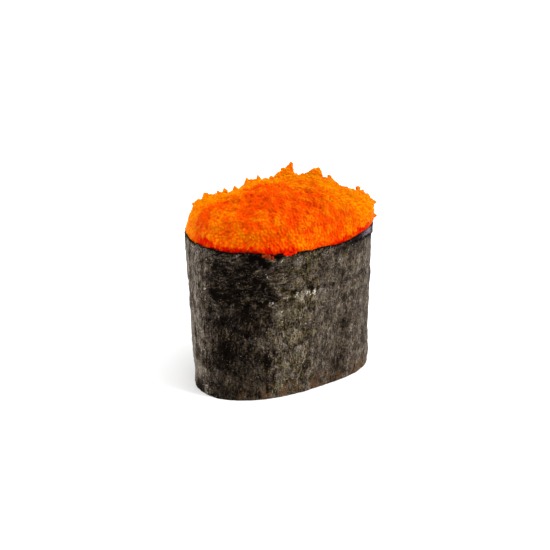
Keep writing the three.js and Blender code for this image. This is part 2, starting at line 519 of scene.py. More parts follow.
def near(turn, spot):
    """1 at a spot round the band and 0 away from it, from the spot's angle and half width in degrees."""
    return peak(turn - spot[0], spot[1])


def bump_at(x, y, at_x, at_y, wide, high=None):
    """A smooth hill of height 1 at a place, with a half width along x and, where it differs, along y."""
    return np.exp(-(((x - at_x) / wide) ** 2) - ((y - at_y) / (high or wide)) ** 2)


def lattice_noise(coordinates, seed, sides):
    """Noise from -1 to 1 with a value at each whole number, which repeats after as many as sides says."""
    values = np.random.default_rng(seed).uniform(-1, 1, sides)
    cells = [np.floor(along).astype(int) for along in coordinates]
    shares = [along - cell for along, cell in zip(coordinates, cells)]
    shares = [share**3 * (share * (6 * share - 15) + 10) for share in shares]
    total = 0
    for corner in itertools.product((0, 1), repeat=len(sides)):
        weight = math.prod(share if step else 1 - share for step, share in zip(corner, shares))
        index = tuple((cell + step) % side for cell, step, side in zip(cells, corner, sides))
        total = total + weight * values[index]
    return total


def smooth_noise(x, y, seed, around=256):
    """Noise with one value for each unit of x and y, which repeats after around units of x."""
    return lattice_noise((x, y), seed, (around, 256))


def roe_noise(points, size, seed):
    """Noise in space, with one value for each size of length."""
    return lattice_noise(np.moveaxis(points / size, -1, 0), seed, (64, 64, 64))


def ring_noise(turn, width, y, seed):
    """Noise that closes round the band, with one value for each width in degrees and each unit of y."""
    return smooth_noise(turn / width, y, seed, around=round(360 / width))


def uneven_line(along, noises):
    """How high an uneven line is, from the width, height and seed of each of its noises."""
    return sum(height * smooth_noise(along / width, 0, seed) for width, height, seed in noises)


def turn_of(angle):
    """An angle in degrees, from 0 to 360."""
    return np.degrees(np.mod(angle, 2 * math.pi))


def looked_up(turn, table):
    """What a table says for some angles in degrees."""
    return np.interp(np.mod(turn, 360), *zip(*table))


def at_ends(angle):
    """1 at the oval's two ends, and 0 halfway between them."""
    return np.abs(np.cos(angle)) ** 3


def oval_radius(oval, angle):
    length_share = np.abs(np.cos(angle) / (oval["length"] / 2)) ** oval["power"]
    width_share = np.abs(np.sin(angle) / (oval["width"] / 2)) ** oval["power"]
    uneven = 1 + oval["egg"] * np.cos(3 * angle)
    uneven = uneven + oval["twist"] * np.sin(3 * angle) + oval["slant"] * np.sin(2 * angle)
    return (length_share + width_share) ** (-1 / oval["power"]) * uneven


def band_radius(angle, height):
    """The outer face of the band, which leans out from the table to the rim."""
    rise = height / BAND_HEIGHT
    return oval_radius(LOWER_OVAL, angle) * (1 - rise) + oval_radius(UPPER_OVAL, angle) * rise


def place(radius, angle, height):
    """Points at a radius and an angle round the oval's middle."""
    x = radius * np.cos(angle) + OVAL_MIDDLE[0]
    y = radius * np.sin(angle) + OVAL_MIDDLE[1]
    return np.stack(np.broadcast_arrays(x, y, height), axis=-1)


def round_middle(points):
    """The angle of some points round the oval's middle, and how far from it they are."""
    x, y = points[..., 0] - OVAL_MIDDLE[0], points[..., 1] - OVAL_MIDDLE[1]
    return np.arctan2(y, x), np.hypot(x, y)


def sheet_tuck(since_inner_end):
    """How far the sheet lies inside the band's outer face, under its own outer end and just after it."""
    return SHEET_TUCK * fading(since_inner_end, OVERLAP, OVERLAP + RAMP)


def room_radius(angle, height):
    """The inner face of the band, where the filling ends."""
    since = np.mod(angle - INNER_END, 2 * math.pi)
    before_end = SHEET_TUCK * fading(2 * math.pi - since, *TUCK_START)
    tuck = np.maximum(sheet_tuck(since), before_end)
    return band_radius(angle, np.minimum(height, BAND_HEIGHT)) - SHEET_THICKNESS - tuck


def keep_inside(points, gap):
    """The points, with those that are lower than the band's rim moved inwards to leave a gap to the band."""
    angle, radius = round_middle(points)
    limit = room_radius(angle, points[..., 2]) - gap
    limit = limit + FREE_ROOM * smoothstep(points[..., 2], BAND_HEIGHT, BAND_HEIGHT + FREE_HEIGHT)
    share = np.minimum(1, limit / np.maximum(radius, 0.001))
    inside = points.copy()
    inside[..., :2] = OVAL_MIDDLE + (points[..., :2] - OVAL_MIDDLE) * share[..., None]
    return inside


# ---------------------------------------------------------------- meshes


def put(name, data):
    """An object in the scene, for a mesh, a lamp or a camera."""
    thing = bpy.data.objects.new(name, data)
    bpy.context.scene.collection.objects.link(thing)
    return thing


def mesh_object(name, points, faces):
    """A mesh piece from points in millimetres and lists of faces that each have as many corners."""
    mesh = bpy.data.meshes.new(name)
    mesh.vertices.add(len(points))
    mesh.vertices.foreach_set("co", (points * MM).astype(np.float32).ravel())
    faces = [group.astype(np.int32) for group in faces]
    corners = np.concatenate([group.ravel() for group in faces])
    sizes = np.concatenate([np.full(len(group), group.shape[1], np.int32) for group in faces])
    mesh.loops.add(len(corners))
    mesh.loops.foreach_set("vertex_index", corners)
    mesh.polygons.add(len(sizes))
    mesh.polygons.foreach_set("loop_start", np.concatenate([[0], np.cumsum(sizes)[:-1]]).astype(np.int32))
    mesh.polygons.foreach_set("loop_total", sizes)
    mesh.update(calc_edges=True)
    mesh.validate()
    mesh.polygons.foreach_set("use_smooth", np.ones(len(mesh.polygons), bool))
    return put(name, mesh)


def joined(name, points, faces):
    """Copies of one small shape as one piece: the points of each copy, and the triangles of one."""
    shift = points.shape[1] * np.arange(len(points))[:, None, None]
    return mesh_object(name, points.reshape(-1, 3), [(faces + shift).reshape(-1, 3)])


def set_numbers(piece, **attributes):
    """Numbers that the piece's finish is mixed by, one for each of its points."""
    for name, values in attributes.items():
        attribute = piece.data.attributes.new(name, "FLOAT", "POINT")
        attribute.data.foreach_set("value", values.astype(np.float32).ravel())


def finish_piece(piece, material, node):
    piece.data.materials.append(material)
    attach(piece, "root")
    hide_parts(node)


def grid_faces(columns, rows, wrap_rows=False):
    """Quads between the points of a grid, which is stored column by column."""
    last = rows if wrap_rows else rows - 1
    column, row = np.meshgrid(np.arange(columns - 1), np.arange(last), indexing="ij")
    above = (row + 1) % rows
    here, beyond = column * rows, (column + 1) * rows
    return np.stack([here + row, beyond + row, beyond + above, here + above], -1).reshape(-1, 4)


def room_rings(angle, rings):
    """Rings of points along the inner face of the band, from the height of each and its gap to the band."""
    return [place(room_radius(angle, height) - gap, angle, height) for height, gap in rings]


def ring_sides(rings):
    """Quads between rings, each given as the numbers of its points, from the highest ring down."""
    return [
        np.stack([low, np.roll(low, -1), np.roll(high, -1), high], -1)
        for high, low in zip(rings, rings[1:])
    ]


def ring_cap(ring, centre):
    """Triangles from a ring to the point in its middle, which face down."""
    return np.stack([np.roll(ring, -1), ring, np.full(len(ring), centre)], -1)


def ball(subdivisions):
    """The points and triangles of a unit icosphere."""
    mesh = bpy.data.meshes.new("ball")
    shape = bmesh.new()
    bmesh.ops.create_icosphere(shape, subdivisions=subdivisions, radius=1)
    shape.to_mesh(mesh)
    shape.free()
    points = np.array([vertex.co for vertex in mesh.vertices])
    faces = np.array([face.vertices for face in mesh.polygons])
    bpy.data.meshes.remove(mesh)
    return points, faces


# ---------------------------------------------------------------- the nori


def sheet_top(angle, share, along):
    """The height of the sheet's upper edge, which waves, is cut unevenly and has a nick in front."""
    top = BAND_HEIGHT - CORNER_DROP * smoothstep(share, 1 - CORNER_SHARE, 1)
    for count, height, start in EDGE_WAVES:
        top = top + height * np.sin(count * angle + start)
    return top + uneven_line(along, EDGE_NOISES) - NICK_DEPTH * peak(angle - NICK_ANGLE, NICK_WIDTH)


def ledge_height(turn):
    """The height of the crease over the rice, at an angle in degrees."""
    return looked_up(turn, LEDGE) + LEDGE_WAVE * ring_noise(turn, 4, 0, 82)


def sheet_relief(angle, along, height):
    """How far the sheet stands out of its even face, in two parts: its form, and the fine crinkles on it."""
    turn = turn_of(angle)
    over_rice = smoothstep(height, RICE_LEVEL - 2, RICE_LEVEL + 1)
    grains = ring_noise(turn, 12, height / 3.2, 21)
    sway = ring_noise(turn, 360 / 11, height / 13, 22)
    buckle = ring_noise(turn, 360 / 17, height / 6 + 0.3 * sway, 23)
    crease = 1 - np.abs(ring_noise(turn, 360 / 62, height / 11 + 4, 24))
    form = GRAIN_RELIEF * grains * (1 - over_rice) + SWAY_RELIEF * sway + BUCKLE_RELIEF * buckle * over_rice
    form = form + CREASE_RELIEF * at_ends(angle) * (crease**3 - 0.4)
    form = form - LEDGE_RELIEF * peak(height - ledge_height(turn), LEDGE_WIDTH)
    form = form * smoothstep(height, -1.5, 2)
    wander = along + 0.5 * smooth_noise(along / 2.3, height / 2.3, 25)
    wrinkle = 1 - 2 * np.abs(smooth_noise(wander / 1.35, height / 2.2, 26))
    crinkle = smooth_noise(along / 0.75, height / 0.85, 27)
    return form, WRINKLE_RELIEF * wrinkle + CRINKLE_RELIEF * crinkle


def fold_width(turn, along):
    """How far down the outer face the folded upper edge reaches, to its ragged end."""
    return window(turn, FOLD) * (FOLD_GROWTH * (turn - FOLD[0]) + uneven_line(along, FOLD_NOISES))


def sheet_tone(turn, height):
    """How light the nori is: painted light, sheen and shade by its side, in patches, and along the broken
    crease over the rice.
    """
    # Painted light on the side towards the key, a painted sheen at the left end, and painted shade low on the
    # unlit left.
    on_right = looked_up(turn + TONE_WANDER * ring_noise(turn, 12, height / 3.5, 85), LIGHT_SIDE)
    tone = DARK_TONE + RIGHT_TONE * on_right + LEFT_END_TONE * window(turn, LEFT_END)
    tone = tone - LOW_LEFT_SHADE * (1 - on_right) * fading(height, 19, 26)
    for *patch, amount in NORI_PATCHES:
        tone = tone + amount * bump_at(turn, height, *patch)
    # A painted highlight along the crease over the rice, and painted shade just above it.
    broken = ring_noise(turn, 2, height / 2, 83)
    above = height - ledge_height(turn)
    lit = LEDGE_LIGHT * peak(above + 0.35, 0.4) * np.maximum(broken + 0.25, 0)
    shaded = LEDGE_SHADE * peak(above - 0.5, 0.6) * np.maximum(0.35 - broken, 0)
    return tone + (lit - shaded) * looked_up(turn, CREASE_CLEAR)


def sheet_shades(piece, angle, height, edge, folded):
    """What the nori's finish is mixed by: how light it is with its painted light and shade, its stains and
    glints, and how near its upper edge is.
    """
    turn = turn_of(angle)
    stain = np.max([bump_at(turn, height, *spot) for spot in STAINS], axis=0)
    stain = stain + 0.35 * ring_noise(turn, 1.6, height / 0.6, 86)
    stain = stain + 0.2 * ring_noise(turn, 0.7, height / 0.35, 88)
    # Pale specks that are painted glints.
    specks = [bump_at(turn, height, at, up, SPECK_STRETCH * size, size) for at, up, size in SPECKS]
    calm_side = window(turn, CALM_SIDE)
    calm_foot = window(turn, CALM_FOOT) * fading(height, *CALM_FOOT_TOP)
    # Upright streaks at the ends: painted light and shade of the creases there.
    side_streaks = at_ends(angle) * (1 - window(turn, FRONT)) * np.where(np.abs(turn - 180) < 90, 1, 0.7)
    above = height - ledge_height(turn)
    low = fading(height + ring_noise(turn, 8, height / 2, 87), *RUST_TOP)
    set_numbers(
        piece,
        tone=sheet_tone(turn, height),
        swing=1 - CALM_SIDE_SHARE * calm_side - CALM_FOOT_SHARE * calm_foot,
        # Where the ground turns more purple grey, a painted sheen: at the ends and on the calm side.
        ends=np.maximum(at_ends(angle), 0.5 * calm_side),
        streaks=side_streaks + 0.35 * near(turn, STREAKY),
        lying=window(turn, LYING_SIDE) * smoothstep(above, -6, 1),
        rust=low * looked_up(turn, RUST_SIDE),
        speck=np.max(specks, axis=0),
        stain=smoothstep(stain, 0.3, 0.65),
        edge=edge,
        folded=folded,
    )


def sheet_columns():
    """Columns spread evenly along the sheet: the angle of each, and how far along the sheet it is."""
    angle = np.linspace(INNER_END, INNER_END + 2 * math.pi + OVERLAP, 4000)
    path = place(band_radius(angle, BAND_HEIGHT / 2), angle, 0)
    length = np.concatenate([[0], np.cumsum(np.linalg.norm(np.diff(path, axis=0), axis=1))])
    along = np.linspace(0, length[-1], SHEET_COLUMNS)
    return np.interp(along, length, angle)[:, None], along[:, None]


def nori_band():
    """The sheet, wound once round with its ends overlapping at the back, as one closed thin solid."""
    angle, along = sheet_columns()
    share = along / along[-1]
    outer = np.linspace(0, 1, OUTER_ROWS)
    inner = outer[::-INNER_STEP]
    depth = np.concatenate([np.zeros(OUTER_ROWS), [0.5], np.ones(len(inner)), [0.5]])
    level = np.concatenate([outer, [1], inner, [0]])
    crown = np.zeros(len(level))
    crown[OUTER_ROWS] = EDGE_CROWN

    top = sheet_top(angle, share, along)
    height = level * top
    form, fine = sheet_relief(angle, along, height)
    radius = band_radius(angle, height) - sheet_tuck(angle - INNER_END) + form
    radius = radius + OUTER_END_LIFT * smoothstep(share, 0.97, 1)
    radius = radius + fine * (1 - depth) - depth * SHEET_THICKNESS
    turn = turn_of(angle)
    fold = fold_width(turn, along)
    in_fold = smoothstep(height, top - fold - 0.15, top - fold + 0.05)
    folded = in_fold * smoothstep(fold, 0.1, 0.4) * (depth < 0.4)
    points = place(radius + FOLD_LIFT * folded, angle, height + crown)

    rows = len(level)
    faces = [grid_faces(SHEET_COLUMNS, rows, wrap_rows=True), *sheet_ends(rows, len(inner))]
    piece = mesh_object("nori_band", points.reshape(-1, 3), faces)
    sheet = np.stack(np.broadcast_arrays(along, height, SHEET_DEPTH * depth), axis=-1)
    attribute = piece.data.attributes.new("sheet", "FLOAT_VECTOR", "POINT")
    attribute.data.foreach_set("vector", sheet.astype(np.float32).ravel())
    ragged = np.clip(0.6 + smooth_noise(along / 1.1, 0, 15), 0, 1)
    thin = 1 - 0.7 * near(turn, THIN_EDGE) * ragged
    # The dark upper edge: the cut edge with painted shadow along it, and under the fold a painted shadow
    # along its lower end.
    edge = np.where(fold > 0.3, np.abs(top - fold - 0.25 - height) - 0.15, (top - height) * thin)
    sheet_shades(piece, np.broadcast_to(angle, height.shape), height, edge, folded)
    return piece


def sheet_ends(rows, inner_rows):
    """The faces that close the sheet at its two upright ends."""
    strips = []
    for step in range(inner_rows - 1):
        outer = [step * INNER_STEP + i for i in range(INNER_STEP + 1)]
        strips.append([*outer, rows - 3 - step, rows - 2 - step])
    corners = [[rows - 1, rows - 2, 0], [OUTER_ROWS - 1, OUTER_ROWS, OUTER_ROWS + 1]]
    groups = [np.array(strips), np.array(corners)]
    last_column = (SHEET_COLUMNS - 1) * rows
    return [group[:, ::-1] for group in groups] + [group + last_column for group in groups]


# ---------------------------------------------------------------- the roe


def heap_rise(x, y):
    """The heap's unevenness at a place: its clumps and hollows, and ripples between them."""
    rise = 0
    for width, height, start, seed in HEAP_RIPPLES:
        rise = rise + height * smooth_noise(x / width + start, y / width + start, seed)
    for lump_x, lump_y, height, spread in LUMPS:
        rise = rise + height * bump_at(x, y, lump_x, lump_y, spread)
    return rise + crag_height(x, y)


def crag_height(x, y, crags=CRAGS):
    """How high the crags rise at a place."""
    height = np.zeros_like(x)
    for crag_x, crag_y, rise, before, behind, aside in crags:
        ahead = (x - crag_x) * HEADING_X + (y - crag_y) * HEADING_Y
        off = (y - crag_y) * HEADING_X - (x - crag_x) * HEADING_Y
        reach = np.where(ahead < 0, before, behind)
        height = np.maximum(height, rise * (1 - np.hypot(ahead / reach, off / aside)))
    return height


def heap_surface(angle, climb):
    """The dome under the loose eggs, at an angle round it and a climb from 0 at the rim to a right angle."""
    from_side = np.mod(angle - SIDE_ANGLE + math.pi, 2 * math.pi) - math.pi
    bulge = HEAP_BULGE + SIDE_BULGE * peak(from_side, SIDE_WIDTH)
    share = np.cos(climb) ** DOME_ROUNDNESS + bulge * np.sin(np.minimum(climb, 1) * math.pi)
    height = HEAP_SHOULDER + HEAP_HEIGHT * np.sin(climb) ** DOME_FULLNESS
    inset = HEAP_INSET * smoothstep(climb, 0, 0.25)
    points = place(share * (room_radius(angle, height) - inset), angle, height)
    inward = 1 - np.minimum(share, 1)
    points[..., 0] += HEAP_LEAN[0] * inward
    points[..., 1] += HEAP_LEAN[1] * inward
    climbed = (height - HEAP_SHOULDER) / HEAP_HEIGHT
    points[..., 2] += heap_rise(points[..., 0], points[..., 1]) * smoothstep(climbed, 0.1, 0.6)
    return points


def even_climb(share):
    """The climb at a share of the way up from the rim, measured along the dome's profile."""
    climb = np.linspace(0, math.pi / 2, 400)
    radius = DOME_REACH * np.cos(climb) ** DOME_ROUNDNESS
    height = HEAP_HEIGHT * np.sin(climb) ** DOME_FULLNESS
    length = np.concatenate([[0], np.cumsum(np.hypot(np.diff(radius), np.diff(height)))])
    return np.interp(share * length[-1], length, climb)


def disc_grid(cells):
    """A square grid bent into a disc: the angle and the radius share of each of its points."""
    side = np.linspace(-1, 1, cells + 1)
    x, y = np.meshgrid(side, side, indexing="ij")
    wide = np.abs(x) > np.abs(y)
    radius = np.where(wide, x, y)
    safe = np.where(radius == 0, 1, radius)
    angle = np.where(wide, (math.pi / 4) * (y / safe), math.pi / 2 - (math.pi / 4) * (x / safe))
    return np.where(radius < 0, angle + math.pi, angle), np.abs(radius)


def outward(points):
    """Unit directions away from the heap's heart."""
    away = points - HEAP_HEART
    return away / np.linalg.norm(away, axis=-1, keepdims=True)


def grid_normals(points):
    """Unit normals of a grid of points over the heap, on its outer side."""
    normals = np.cross(np.gradient(points, axis=0), np.gradient(points, axis=1))
    normals /= np.linalg.norm(normals, axis=-1, keepdims=True)
    return normals * np.sign(np.sum(normals * outward(points), axis=-1, keepdims=True))


def spread_points(points, spacing, seed):
    """Some of the points, in random order, none of them nearer to another than spacing."""
    order = np.random.default_rng(seed).permutation(len(points))
    steps = list(itertools.product((-1, 0, 1), repeat=3))
    taken, cells = [], {}
    keys = np.floor(points / spacing).astype(int)
    for i in order:
        a, b, c = keys[i]
        near = [j for da, db, dc in steps for j in cells.get((a + da, b + db, c + dc), ())]
        if near and np.min(np.sum((points[near] - points[i]) ** 2, axis=1)) < spacing**2:
            continue
        cells.setdefault((a, b, c), []).append(i)
        taken.append(i)
    return np.array(taken)


@functools.cache
def dome_cells():
    """A fine grid over the dome: one corner and two sides of each of its cells."""
    around = np.linspace(0, 2 * math.pi, DOME_COLUMNS)
    climb = even_climb(np.linspace(0, DOME_TOP, DOME_ROWS))
    points = heap_surface(*np.meshgrid(around, climb, indexing="ij"))
    corners = points[:-1, :-1].reshape(-1, 3)
    across = np.diff(points, axis=0)[:, :-1].reshape(-1, 3)
    up = np.diff(points, axis=1)[:-1].reshape(-1, 3)
    return corners, across, up


def heap_samples(count, seed):
    """Random points spread evenly over the dome."""
    rng = np.random.default_rng(seed)
    corners, across, up = dome_cells()
    area = np.linalg.norm(np.cross(across, up), axis=-1)
    cell = rng.choice(len(area), count, p=area / area.sum())
    return corners[cell] + across[cell] * rng.random((count, 1)) + up[cell] * rng.random((count, 1))


def roe_shade(x, y):
    """How light the roe is at a place: lighter with painted light at its far side and its right end, deeper
    in the middle.
    """
    shade = MIDDLE_SHADE + FAR_SHADE * window(y, FAR_SIDE) + RIGHT_SHADE * smoothstep(x, *RIGHT_SIDE)
    for *patch, amount in ROE_PATCHES:
        shade = shade + amount * bump_at(x, y, *patch)
    return shade


def roe_paleness(points):
    """How bright the roe's colour is, with painted light low down on its left and on the crags, painted shade
    elsewhere.
    """
    x, y, z = points.T
    low, right = fading(z, *LOW_ROE), smoothstep(x, *BRIGHT_SIDE)
    paleness = ROE_BRIGHTNESS + (LOW_LEFT_GLOW - LOW_RIGHT_DIMMING * right) * low - RIGHT_DIMMING * right
    paleness = paleness - TOP_DIMMING * smoothstep(z, *TOP_ROE) - TIP_DIMMING * fading(x, *LEFT_TIP)
    return paleness + CRAG_GLOW * smoothstep(crag_height(x, y), 0.3, 1.2)


def rim_red(points):
    """Painted shade by the band: how red the roe is, in ragged patches low down along the front of the rim.
    """
    turn = turn_of(round_middle(points)[0])
    side = window(turn, RED_SIDE)
    patches = window(turn, RED_FRONT) + side
    ragged = 0.5 * ring_noise(turn, 2.5, 0, 84)
    ragged = ragged + 0.5 * side * smoothstep(turn, 295, 308) + near(turn, RED_CORNER)
    return (0.2 + 0.8 * patches) * fading(points[:, 2] - ragged, *RED_TOP)


def relief_of(points):
    """The tops of half sunk eggs, in relief on the heap: the height and the egg's own shade at each point."""
    rng = np.random.default_rng(33)
    samples = heap_samples(RELIEF_STARTS, 31)
    spacings, sinks = zip(*RELIEF_LAYERS)
    layers = [samples[spread_points(samples, spacing, 32 + i)] for i, spacing in enumerate(spacings)]
    sinks = [rng.uniform(*sink, len(layer)) for layer, sink in zip(layers, sinks)]
    eggs, sinks = np.concatenate(layers), np.concatenate(sinks)
    radii = rng.uniform(*RELIEF_RADII, len(eggs))
    levels = -radii * sinks
    shades = rng.uniform(-EGG_SHADE, EGG_SHADE, len(eggs))
    tree = KDTree(len(eggs))
    for i, egg in enumerate(eggs):
        tree.insert(egg, i)
    tree.balance()
    near = np.array([[(j, distance) for _, j, distance in tree.find_n(point, 5)] for point in points])
    egg, distance = near[..., 0].astype(int), near[..., 1]
    caps = levels[egg] + np.sqrt(np.maximum(radii[egg] ** 2 - distance**2, 0))
    caps = np.where(distance < radii[egg], caps, RELIEF_FLOOR)
    rows, highest = np.arange(len(points)), np.argmax(caps, axis=1)
    relief = np.maximum(caps[rows, highest], RELIEF_FLOOR)
    return relief, shades[egg[rows, highest]]


def roe_core():
    """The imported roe: the dome with the tops of its eggs in relief, down to the rice inside the band."""
    angle, radius_share = disc_grid(RELIEF_CELLS)
    dome = heap_surface(angle, even_climb(1 - radius_share))
    clumps = 0.7 * roe_noise(dome, 2.1, 44) + 0.6 * roe_noise(dome, 1, 45)
    relief, egg_shade = relief_of(dome.reshape(-1, 3))
    # The gaps between the eggs get the painted red glow.
    gap = fading(relief, RELIEF_FLOOR, 0.08)
    relief = relief.reshape(radius_share.shape) + CLUMP_RELIEF * clumps
    relief = relief * smoothstep(1 - radius_share, 0, 0.02)
    dome = keep_inside(dome + grid_normals(dome) * relief[..., None], ROE_GAP)

    size = RELIEF_CELLS + 1
    index = np.arange(size * size).reshape(size, size)
    rim = np.concatenate([index[:-1, 0], index[-1, :-1], index[:0:-1, -1], index[0, :0:-1]])
    rings = room_rings(angle.flat[rim], CORE_RINGS)
    bottom = [[*OVAL_MIDDLE, CORE_RINGS[-1][0]]]
    points = np.concatenate([dome.reshape(-1, 3), *rings, bottom])
    numbers = [rim] + [size * size + len(rim) * i + np.arange(len(rim)) for i in range(len(rings))]
    faces = [grid_faces(size, size), *ring_sides(numbers), ring_cap(numbers[-1], len(points) - 1)]
    piece = mesh_object("roe_core", points, faces)
    shade = roe_shade(points[:, 0], points[:, 1])
    # Each egg's own random shade, and painted light and shade that follow the clumps.
    shade[: size * size] += egg_shade + CLUMP_SHADE * clumps.ravel()
    gap = np.concatenate([gap, np.ones(len(points) - len(gap))])
    set_numbers(piece, shade=shade, gap=gap, red=rim_red(points), paleness=roe_paleness(points))
    return piece


def small_tips():
    """Small tips all over the far side of the heap, in the form of crags."""
    rng = np.random.default_rng(56)
    places = heap_samples(SMALL_TIPS, 57)
    x, y, z = places.T
    kept = (z > SMALL_TIP_LEVEL) & (y > SMALL_TIP_START) & (crag_height(x, y) < 0.3)
    places = places[kept, :2]
    reaches = rng.uniform(*SMALL_TIP_REACHES, (len(places), 3))
    heights = rng.uniform(*SMALL_TIP_HEIGHTS, len(places))
    return [(*at, height, *reach) for at, height, reach in zip(places, heights, reaches)]


def teeth():
    """The teeth along the crest: the middle of each one's foot, its direction, length and foot's radius."""
    rng = np.random.default_rng(48)
    corners = dome_cells()[0]
    cones = []
    for x, y, height in TEETH:
        foot = corners[np.argmin((corners[:, 0] - x) ** 2 + (corners[:, 1] - y) ** 2)]
        heading = outward(foot) + (0, 0, TOOTH_RISE) + rng.normal(0, TOOTH_TILT, 3)
        heading /= np.linalg.norm(heading)
        cones.append((foot - TOOTH_SINK * outward(foot), heading, height, rng.uniform(*TOOTH_REACHES)))
    return cones


def coned_eggs(cones):
    """Cones of eggs that get smaller towards the tip."""
    rng = np.random.default_rng(59)
    centres, radii = [], []
    for foot_middle, heading, length, foot in cones:
        count = int(CONE_CROWD * foot * length) + CONE_LEAST
        share = np.linspace(0, 1, count) ** 1.3
        stray = rng.normal(size=(count, 3))
        stray *= (foot * (1 - share) / np.linalg.norm(stray, axis=1))[:, None]
        centres.append(foot_middle + length * share[:, None] * heading + stray)
        radii.append(EGG_RADIUS * (0.85 - 0.4 * share))
    return np.concatenate(centres), np.concatenate(radii)


def eggs_on_band(seed, count, turns, top, drop, stand, sizes):
    """Eggs on the outer face of the band, between two angles in degrees: their middles and radii.

    They hang from the top by up to the drop at their angle, and their middles stand off the band.
    """
    rng = np.random.default_rng(seed)
    turn = rng.uniform(*turns, count)
    height = top - drop(turn) * rng.random(count)
    centres = place(band_radius(np.radians(turn), height) + stand, np.radians(turn), height)
    return centres, rng.uniform(*sizes, count)


def hanging_eggs():
    """Eggs that hang over the band's rim beside the nick."""
    return eggs_on_band(
        58, 26, (243, 252), 36.2, lambda turn: 0.75 * near(turn, HANGING), 0.08, (0.18, 0.3)
    )


def smeared_eggs():
    """Bits of egg that stick to the outer face of the band below the nick."""
    return eggs_on_band(
        60, 40, (228, 235), 35.9, lambda turn: 0.36 + 0.12 * (turn - 228), 0.05, (0.14, 0.26)
    )


def loose_eggs():
    """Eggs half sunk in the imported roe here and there, and smaller ones stacked up in ragged tips."""
    rng = np.random.default_rng(51)
    base = heap_samples(LOOSE_STARTS, 52)
    x, y = base[:, 0], base[:, 1]
    tips = crag_height(x, y, small_tips())
    patchy = roe_noise(base, 1.4, 53) + 0.5 * roe_noise(base, 0.7, 54)
    ahead = crag_height(x + WALL_STEP * HEADING_X, y + WALL_STEP * HEADING_Y)
    on_wall = crag_height(x, y) - ahead > WALL_SLOPE * WALL_STEP
    kept = (patchy > LOOSE_LEVEL) | (tips > 0.08) | on_wall
    base, tips = base[kept], tips[kept]
    away = outward(base)
    away[:, 2] += np.minimum(1.5 * tips, 1.5)
    away /= np.linalg.norm(away, axis=1, keepdims=True)
    reach = LOOSE_SINK + tips * rng.random(len(base)) ** 0.4
    centres = base + away * reach[:, None]
    radii = EGG_RADIUS * rng.uniform(0.8, 1.05, len(base)) * (1 - 0.45 * smoothstep(reach, 0.1, 0.7))
    angle, from_middle = round_middle(centres)
    inside = from_middle + radii < room_radius(angle, centres[:, 2])
    clear = inside | (centres[:, 2] > BAND_HEIGHT + 0.6)
    centres, radii = centres[clear], radii[clear]
    on_tip = reach[clear] > 0.12
    groups = []
    for group, spacing in ((~on_tip, LOOSE_SPACING), (on_tip, TIP_SPACING)):
        chosen = spread_points(centres[group], spacing, 55)
        groups.append((centres[group][chosen], radii[group][chosen]))
    groups += [coned_eggs([*teeth(), *SPIKES]), hanging_eggs()]
    centres, radii = (np.concatenate(part) for part in zip(*groups))
    order = np.random.default_rng(50).permutation(len(radii))
    return centres[order], radii[order]


def random_turns(count, seed):
    """Matrices that turn things at random, one for each of them."""
    spin = np.random.default_rng(seed).normal(size=(count, 4))
    w, x, y, z = (spin / np.linalg.norm(spin, axis=1, keepdims=True)).T
    rows = [
        [1 - 2 * (y * y + z * z), 2 * (x * y - w * z), 2 * (x * z + w * y)],
        [2 * (x * y + w * z), 1 - 2 * (x * x + z * z), 2 * (y * z - w * x)],
        [2 * (x * z - w * y), 2 * (y * z + w * x), 1 - 2 * (x * x + y * y)],
    ]
    return np.array(rows).transpose(2, 0, 1)


def loose_roe(name, centres, radii, seed, reddened=1):
    """One kind of the loose eggs: a little flattened, each turned at random and with a shade of its own."""
    rng = np.random.default_rng(seed)
    shape, faces = ball(2)
    sizes = radii[:, None] * rng.uniform(0.9, 1.06, (len(radii), 3))
    turned = np.einsum("nij,nkj->nki", random_turns(len(radii), seed + 1), shape * sizes[:, None])
    piece = joined(name, turned + centres[:, None], faces)
    x, y = centres[:, 0], centres[:, 1]
    # Loose eggs along the crest get more painted light.
    at_crest = smoothstep(y + np.maximum(0.5 * x, 0), 3, 7)
    each = {
        "shade": roe_shade(x, y) + rng.uniform(-0.15, 0.25, len(radii)),
        "red": rim_red(centres) * reddened,
        "paleness": roe_paleness(centres) * (1 + CREST_GLOW * at_crest),
    }
    set_numbers(piece, **{name: np.repeat(values, len(shape)) for name, values in each.items()})
    # The sunk lower side of each egg gets the painted red glow.
    height = np.einsum("nkj,nj->nk", turned, outward(centres)) / radii[:, None]
    set_numbers(piece, gap=fading(height, -0.4, 0.4))
    return piece


# ---------------------------------------------------------------- the rice


def rice_block():
    """The pressed rice behind the grains that show underneath."""
    angle = np.linspace(0, 2 * math.pi, RICE_COLUMNS, endpoint=False)
    rings = room_rings(angle, RICE_RINGS)
    middles = [[*OVAL_MIDDLE, height] for height in (RICE_RINGS[0][0], RICE_RINGS[-1][0])]
    numbers = [RICE_COLUMNS * i + np.arange(RICE_COLUMNS) for i in range(len(rings))]
    top = RICE_COLUMNS * len(rings)
    faces = [*ring_sides(numbers), ring_cap(numbers[0][::-1], top), ring_cap(numbers[-1], top + 1)]
    return mesh_object("rice_block", np.concatenate([*rings, middles]), faces)


def swung(first, second, angle):
    """Two coordinates of the points of each grain, after a turn by the grain's own angle."""
    c, s = np.cos(angle)[:, None], np.sin(angle)[:, None]
    return first * c - second * s, first * s + second * c


